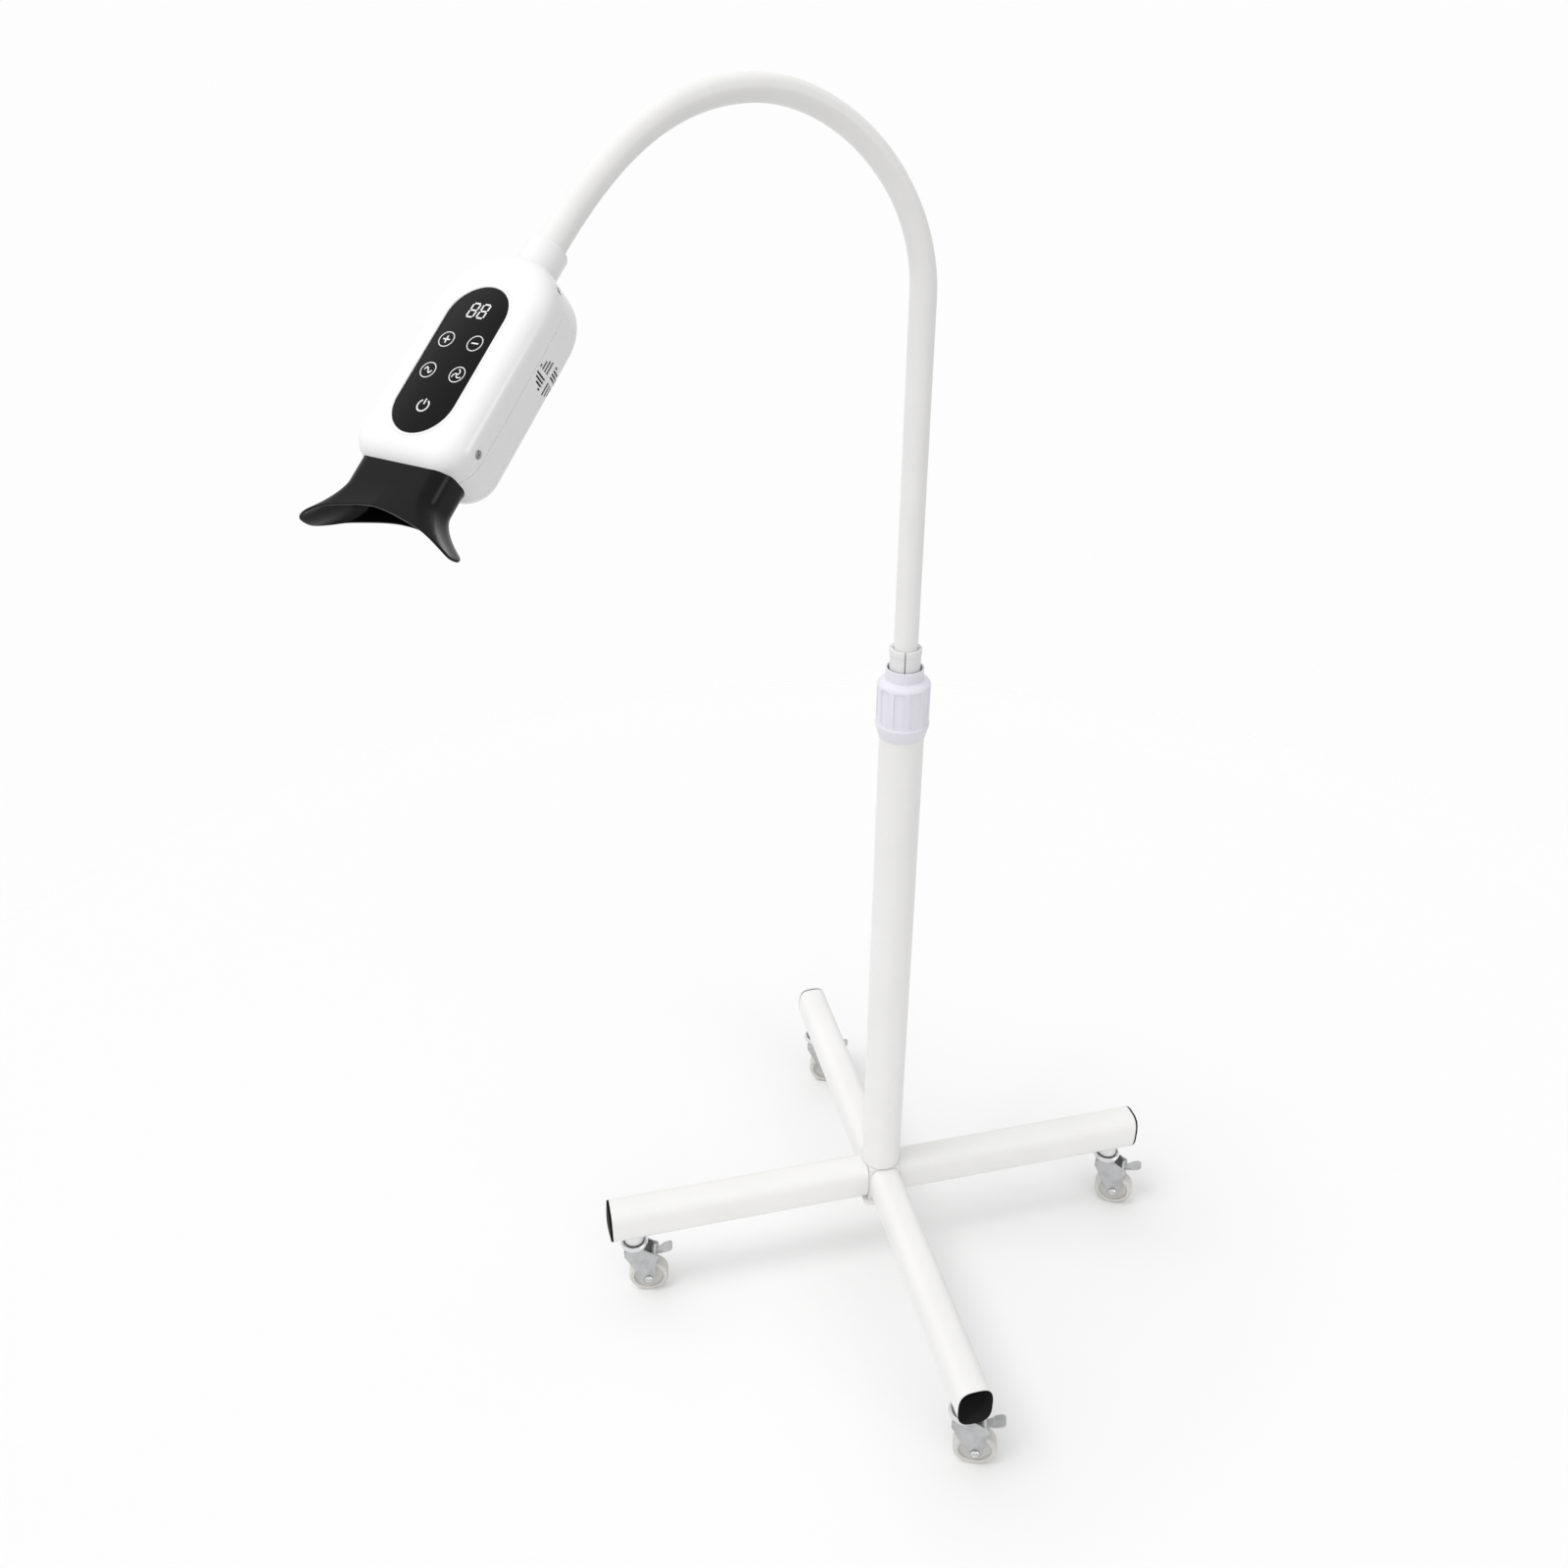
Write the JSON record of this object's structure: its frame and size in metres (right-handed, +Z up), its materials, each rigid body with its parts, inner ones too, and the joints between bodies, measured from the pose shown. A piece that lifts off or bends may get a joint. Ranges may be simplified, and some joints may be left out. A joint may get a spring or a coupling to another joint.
{
  "type": "teeth whitening lamp",
  "caption": "Telescopic gooseneck lamp on a rolling cross base, with a touch panel head, cooling fan and pull-off mouth hood.",
  "frame": {"origin": "on the floor, on the axis of the column", "axes": "+Z up along the column; the lamp head looks towards -X; the legs lie at 45 degrees to X and Y"},
  "size_m": [0.8243, 0.5412, 1.3989],
  "materials": {
    "board_green": "green solder mask",
    "bolt_steel": "bright nickel plate",
    "bush_white": "white nylon",
    "cap_black": "satin black moulded plastic",
    "collar_white": "satin white moulded plastic, ribbed",
    "display_grey": "dark grey lens",
    "fan_black": "black moulded plastic",
    "gloss_shell_white": "glossy white moulded plastic",
    "hood_black": "semi-gloss black",
    "led_board_white": "white solder mask with LEDs",
    "lens_clear": "clear window",
    "panel_black": "polished black",
    "powder_coat_white": "satin white powder coat",
    "sink_aluminium": "extruded, plain",
    "sleeve_white": "satin white sleeve",
    "wheel_nylon": "ivory nylon",
    "zinc_plate": "bright zinc plate"
  },
  "bodies": {
    "base": {"hub_post": "powder_coat_white", "hub_plate": "powder_coat_white", "hub_bolt": "bolt_steel", "leg_1": "powder_coat_white", "leg_2": "powder_coat_white", "leg_3": "powder_coat_white", "leg_4": "powder_coat_white", "leg_cap_1": "cap_black", "leg_cap_2": "cap_black", "leg_cap_3": "cap_black", "leg_cap_4": "cap_black", "caster_1_stem": "bush_white", "caster_2_stem": "bush_white", "caster_3_stem": "bush_white", "caster_4_stem": "bush_white", "column": "powder_coat_white", "column_insert": "bush_white", "power_inlet": "cap_black", "collet": "bush_white"},
    "collar": {"lock_collar": "collar_white"},
    "mast_foot": {"foot_bush": "bush_white"},
    "mast": {"inner_rod": "sleeve_white"},
    "gooseneck_1": {"gooseneck_link_1": "sleeve_white"},
    "gooseneck_2": {"gooseneck_link_2": "sleeve_white"},
    "gooseneck_3": {"gooseneck_link_3": "sleeve_white"},
    "gooseneck_4": {"gooseneck_link_4": "sleeve_white"},
    "gooseneck_5": {"gooseneck_link_5": "sleeve_white"},
    "head": {"gooseneck_end": "sleeve_white", "neck_collar": "gloss_shell_white", "front_shell": "gloss_shell_white", "back_shell": "gloss_shell_white", "control_panel": "panel_black", "display_module": "display_grey", "control_board": "board_green", "light_window": "lens_clear", "led_board": "led_board_white", "heat_sink": "sink_aluminium", "fan_frame": "fan_black", "shell_screw_1": "bolt_steel", "shell_screw_2": "bolt_steel", "shell_screw_3": "bolt_steel", "shell_screw_4": "bolt_steel"},
    "fan": {"fan_rotor": "fan_black"},
    "hood": {"mouth_hood": "hood_black"},
    "caster_1": {"caster_1_fork": "zinc_plate", "caster_1_axle": "bolt_steel"},
    "wheel_1": {"caster_1_wheel": "wheel_nylon"},
    "brake_1": {"caster_1_brake_lever": "zinc_plate"},
    "caster_2": {"caster_2_fork": "zinc_plate", "caster_2_axle": "bolt_steel"},
    "wheel_2": {"caster_2_wheel": "wheel_nylon"},
    "brake_2": {"caster_2_brake_lever": "zinc_plate"},
    "caster_3": {"caster_3_fork": "zinc_plate", "caster_3_axle": "bolt_steel"},
    "wheel_3": {"caster_3_wheel": "wheel_nylon"},
    "brake_3": {"caster_3_brake_lever": "zinc_plate"},
    "caster_4": {"caster_4_fork": "zinc_plate", "caster_4_axle": "bolt_steel"},
    "wheel_4": {"caster_4_wheel": "wheel_nylon"},
    "brake_4": {"caster_4_brake_lever": "zinc_plate"}
  },
  "joints": [
    {"name": "mast_slide", "type": "slide", "parent": "base", "child": "mast_foot", "axis": [0, 0, 1], "range_m": [-0.25, 0.12]},
    {"name": "mast_turn", "type": "hinge", "parent": "mast_foot", "child": "mast", "pos_m": [0, 0, 0.4701], "axis": [0, 0, 1], "continuous": true},
    {"name": "collar_turn", "type": "hinge", "parent": "base", "child": "collar", "pos_m": [0, 0, 0.7701], "axis": [0, 0, 1], "range_deg": [0, 150]},
    {"name": "bend_1", "type": "hinge", "parent": "mast", "child": "gooseneck_1", "pos_m": [0, 0, 1.2151], "axis": [0, 1, 0], "range_deg": [-8, 8]},
    {"name": "bend_2", "type": "hinge", "parent": "gooseneck_1", "child": "gooseneck_2", "pos_m": [-0.01697, 0.01213, 1.29496], "axis": [0, 1, 0], "range_deg": [-8, 8]},
    {"name": "bend_3", "type": "hinge", "parent": "gooseneck_2", "child": "gooseneck_3", "pos_m": [-0.06613, 0.04392, 1.35831], "axis": [0, 1, 0], "range_deg": [-8, 8]},
    {"name": "bend_4", "type": "hinge", "parent": "gooseneck_3", "child": "gooseneck_4", "pos_m": [-0.13466, 0.07992, 1.38691], "axis": [0, 1, 0], "range_deg": [-8, 8]},
    {"name": "bend_5", "type": "hinge", "parent": "gooseneck_4", "child": "gooseneck_5", "pos_m": [-0.21376, 0.10942, 1.37742], "axis": [0, 1, 0], "range_deg": [-8, 8]},
    {"name": "bend_6", "type": "hinge", "parent": "gooseneck_5", "child": "head", "pos_m": [-0.28788, 0.12535, 1.34004], "axis": [0, 1, 0], "range_deg": [-8, 8]},
    {"name": "fan_spin", "type": "hinge", "parent": "head", "child": "fan", "pos_m": [-0.4237, 0.098, 1.22025], "axis": [0, -1, 0], "continuous": true},
    {"name": "hood_pull", "type": "slide", "parent": "head", "child": "hood", "axis": [-0.7793, 0, -0.6266], "range_m": [0, 0.03]},
    {"name": "swivel_1", "type": "hinge", "parent": "base", "child": "caster_1", "pos_m": [-0.2291, 0.2291, 0.0767], "axis": [0, 0, 1], "continuous": true},
    {"name": "roll_1", "type": "hinge", "parent": "caster_1", "child": "wheel_1", "pos_m": [-0.21993, 0.216, 0.025], "axis": [0.8192, 0.5736, 0], "continuous": true},
    {"name": "brake_1_press", "type": "hinge", "parent": "caster_1", "child": "brake_1", "pos_m": [-0.21505, 0.20903, 0.0625], "axis": [0.8192, 0.5736, 0], "range_deg": [0, 18]},
    {"name": "swivel_2", "type": "hinge", "parent": "base", "child": "caster_2", "pos_m": [-0.2291, -0.2291, 0.0767], "axis": [0, 0, 1], "continuous": true},
    {"name": "roll_2", "type": "hinge", "parent": "caster_2", "child": "wheel_2", "pos_m": [-0.22234, -0.2436, 0.025], "axis": [0.9063, 0.4226, 0], "continuous": true},
    {"name": "brake_2_press", "type": "hinge", "parent": "caster_2", "child": "brake_2", "pos_m": [-0.21875, -0.25131, 0.0625], "axis": [0.9063, 0.4226, 0], "range_deg": [0, 18]},
    {"name": "swivel_3", "type": "hinge", "parent": "base", "child": "caster_3", "pos_m": [0.2291, -0.2291, 0.0767], "axis": [0, 0, 1], "continuous": true},
    {"name": "roll_3", "type": "hinge", "parent": "caster_3", "child": "wheel_3", "pos_m": [0.23324, -0.24456, 0.025], "axis": [0.9659, 0.2588, 0], "continuous": true},
    {"name": "brake_3_press", "type": "hinge", "parent": "caster_3", "child": "brake_3", "pos_m": [0.23544, -0.25277, 0.0625], "axis": [0.9659, 0.2588, 0], "range_deg": [0, 18]},
    {"name": "swivel_4", "type": "hinge", "parent": "base", "child": "caster_4", "pos_m": [0.2291, 0.2291, 0.0767], "axis": [0, 0, 1], "continuous": true},
    {"name": "roll_4", "type": "hinge", "parent": "caster_4", "child": "wheel_4", "pos_m": [0.2371, 0.21525, 0.025], "axis": [0.866, 0.5, 0], "continuous": true},
    {"name": "brake_4_press", "type": "hinge", "parent": "caster_4", "child": "brake_4", "pos_m": [0.24135, 0.20788, 0.0625], "axis": [0.866, 0.5, 0], "range_deg": [0, 18]}
  ]
}
